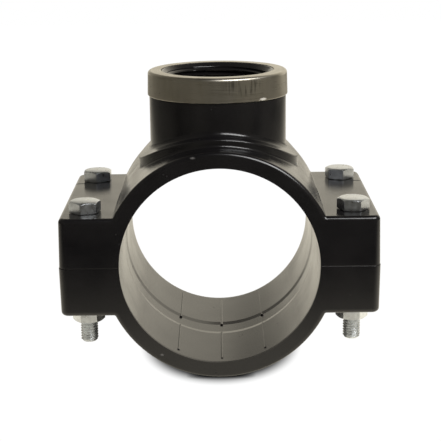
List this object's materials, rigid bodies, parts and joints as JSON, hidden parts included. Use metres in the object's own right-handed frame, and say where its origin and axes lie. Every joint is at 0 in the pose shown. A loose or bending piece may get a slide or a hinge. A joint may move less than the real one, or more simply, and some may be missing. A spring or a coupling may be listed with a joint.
{
  "type": "tapping saddle",
  "caption": "Two-part plastic clamp saddle bolted round a pipe, with a threaded branch and a steel reinforcing ring, for tapping a side connection.",
  "frame": {"origin": "where the pipe axis and the branch axis cross, in the parting plane of the clamp", "axes": "+Y along the pipe, +Z out of the branch, +X towards one pair of bolts"},
  "size_m": [0.1446, 0.096, 0.135],
  "materials": {
    "black_plastic": "smooth moulded polypropylene",
    "stainless_steel": "drawn sheet, dull",
    "zinc_plated_steel": "bright zinc plating",
    "black_rubber": "smooth moulded rubber"
  },
  "bodies": {
    "saddle": {"upper_saddle": "black_plastic", "reinforcing_ring": "stainless_steel", "outlet_seal": "black_rubber"},
    "strap": {"lower_saddle": "black_plastic", "nut_front_left": "zinc_plated_steel", "nut_front_right": "zinc_plated_steel", "nut_back_left": "zinc_plated_steel", "nut_back_right": "zinc_plated_steel"},
    "front_left_bolt": {"bolt_front_left": "zinc_plated_steel"},
    "front_right_bolt": {"bolt_front_right": "zinc_plated_steel"},
    "back_left_bolt": {"bolt_back_left": "zinc_plated_steel"},
    "back_right_bolt": {"bolt_back_right": "zinc_plated_steel"}
  },
  "joints": [
    {"name": "strap_travel", "type": "slide", "parent": "saddle", "child": "strap", "axis": [0, 0, -1], "range_m": [0, 0.0075]},
    {"name": "front_left_bolt_turn", "type": "hinge", "parent": "saddle", "child": "front_left_bolt", "pos_m": [-0.0608, -0.033, 0.0228], "axis": [0, 0, 1], "range_deg": [0, 2160]},
    {"name": "front_right_bolt_turn", "type": "hinge", "parent": "saddle", "child": "front_right_bolt", "pos_m": [0.0608, -0.033, 0.0228], "axis": [0, 0, 1], "range_deg": [0, 2160]},
    {"name": "back_left_bolt_turn", "type": "hinge", "parent": "saddle", "child": "back_left_bolt", "pos_m": [-0.0608, 0.033, 0.0228], "axis": [0, 0, 1], "range_deg": [0, 2160]},
    {"name": "back_right_bolt_turn", "type": "hinge", "parent": "saddle", "child": "back_right_bolt", "pos_m": [0.0608, 0.033, 0.0228], "axis": [0, 0, 1], "range_deg": [0, 2160]}
  ],
  "couplings": [
    {"joint": "front_left_bolt_turn", "follows": "strap_travel", "rad_per_m": 5026.5},
    {"joint": "front_right_bolt_turn", "follows": "strap_travel", "rad_per_m": 5026.5},
    {"joint": "back_left_bolt_turn", "follows": "strap_travel", "rad_per_m": 5026.5},
    {"joint": "back_right_bolt_turn", "follows": "strap_travel", "rad_per_m": 5026.5}
  ]
}
